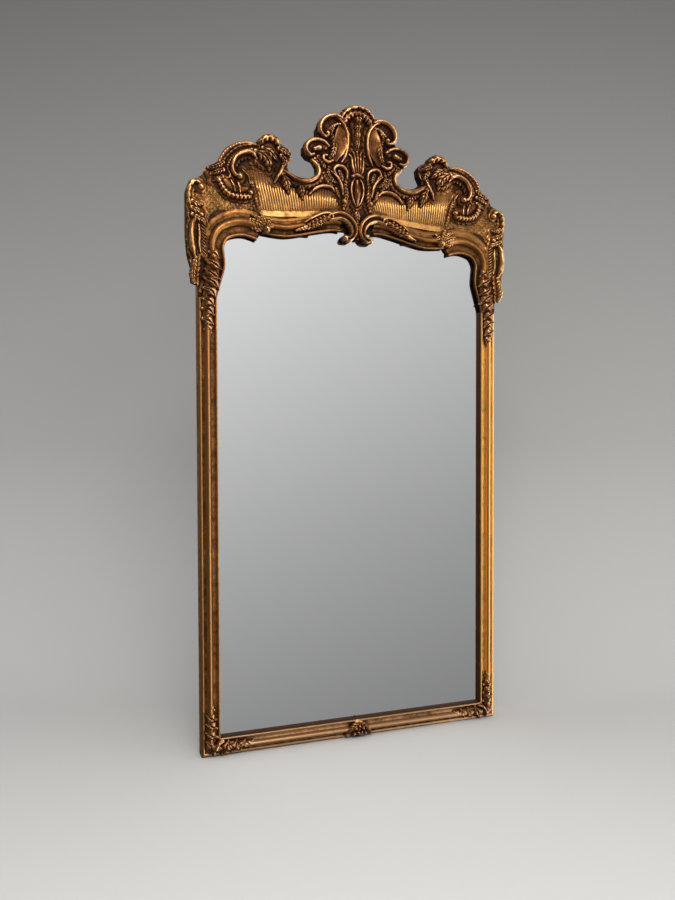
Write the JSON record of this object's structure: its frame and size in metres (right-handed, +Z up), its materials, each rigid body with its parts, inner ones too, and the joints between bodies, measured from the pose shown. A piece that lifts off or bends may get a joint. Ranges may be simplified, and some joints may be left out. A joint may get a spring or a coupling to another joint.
{
  "type": "overmantel mirror",
  "caption": "Tall wall mirror in a carved, gilded rococo frame with serpentine apron, shouldered crest and central cartouche, with hinged hanger rings on the back.",
  "frame": {"origin": "centre of the bottom rail's underside, where the frame stands on the mantelshelf", "axes": "+X to the viewer's right, +Y back towards the wall, +Z up"},
  "size_m": [0.8, 0.0726, 1.5],
  "materials": {
    "giltwood": "water-gilt and bronze-toned carved wood, rubbed bright on the high points, dark umber patina in the recesses",
    "gilt_ground": "gilt wood ground of the crest, duller and browner than the carving",
    "silvered_glass": "silvered flat glass, polished",
    "bare_pine": "unfinished aged pine, oxidised brown",
    "hanger_brass": "dull aged brass",
    "screw_steel": "darkened steel, slightly oxidised"
  },
  "bodies": {
    "frame": {"left_stile": "giltwood", "right_stile": "giltwood", "bottom_rail": "giltwood", "top_rail": "bare_pine", "left_shoulder_board": "gilt_ground", "right_shoulder_board": "gilt_ground", "crest_center_board": "gilt_ground", "left_crest_batten": "bare_pine", "right_crest_batten": "bare_pine", "left_arch_moulding": "giltwood", "right_arch_moulding": "giltwood", "left_apron_moulding": "giltwood", "right_apron_moulding": "giltwood", "left_shoulder_scroll": "giltwood", "right_shoulder_scroll": "giltwood", "left_shoulder_leaf": "giltwood", "right_shoulder_leaf": "giltwood", "left_shoulder_ruffle": "giltwood", "right_shoulder_ruffle": "giltwood", "left_ear_scroll": "giltwood", "right_ear_scroll": "giltwood", "hood": "giltwood", "left_cartouche_scroll": "giltwood", "right_cartouche_scroll": "giltwood", "left_side_volute": "giltwood", "right_side_volute": "giltwood", "palmette": "giltwood", "left_cartouche_leaf": "giltwood", "right_cartouche_leaf": "giltwood", "left_gap_scroll": "giltwood", "right_gap_scroll": "giltwood", "left_notch_rosette": "giltwood", "right_notch_rosette": "giltwood", "left_apron_scroll": "giltwood", "right_apron_scroll": "giltwood", "apron_drop": "giltwood", "left_fluted_field": "gilt_ground", "right_fluted_field": "gilt_ground", "left_lattice_field": "gilt_ground", "right_lattice_field": "gilt_ground", "left_stile_wrap": "giltwood", "right_stile_wrap": "giltwood", "left_corner_leaf": "giltwood", "right_corner_leaf": "giltwood", "bottom_shell": "giltwood", "mirror_plate": "silvered_glass", "left_glazing_strip": "bare_pine", "right_glazing_strip": "bare_pine", "lower_backboard": "bare_pine", "upper_backboard": "bare_pine", "left_backboard_screw_1": "screw_steel", "right_backboard_screw_1": "screw_steel", "left_backboard_screw_2": "screw_steel", "right_backboard_screw_2": "screw_steel", "left_hanger_strap": "hanger_brass", "right_hanger_strap": "hanger_brass", "left_hanger_screw": "screw_steel", "right_hanger_screw": "screw_steel"},
    "left_ring": {"left_hanger_ring": "hanger_brass"},
    "right_ring": {"right_hanger_ring": "hanger_brass"}
  },
  "joints": [
    {"name": "left_ring_swing", "type": "hinge", "parent": "frame", "child": "left_ring", "pos_m": [-0.358, 0.0188, 0.975], "axis": [1, 0, 0], "range_deg": [0, 180]},
    {"name": "right_ring_swing", "type": "hinge", "parent": "frame", "child": "right_ring", "pos_m": [0.358, 0.0188, 0.975], "axis": [1, 0, 0], "range_deg": [0, 180]}
  ]
}
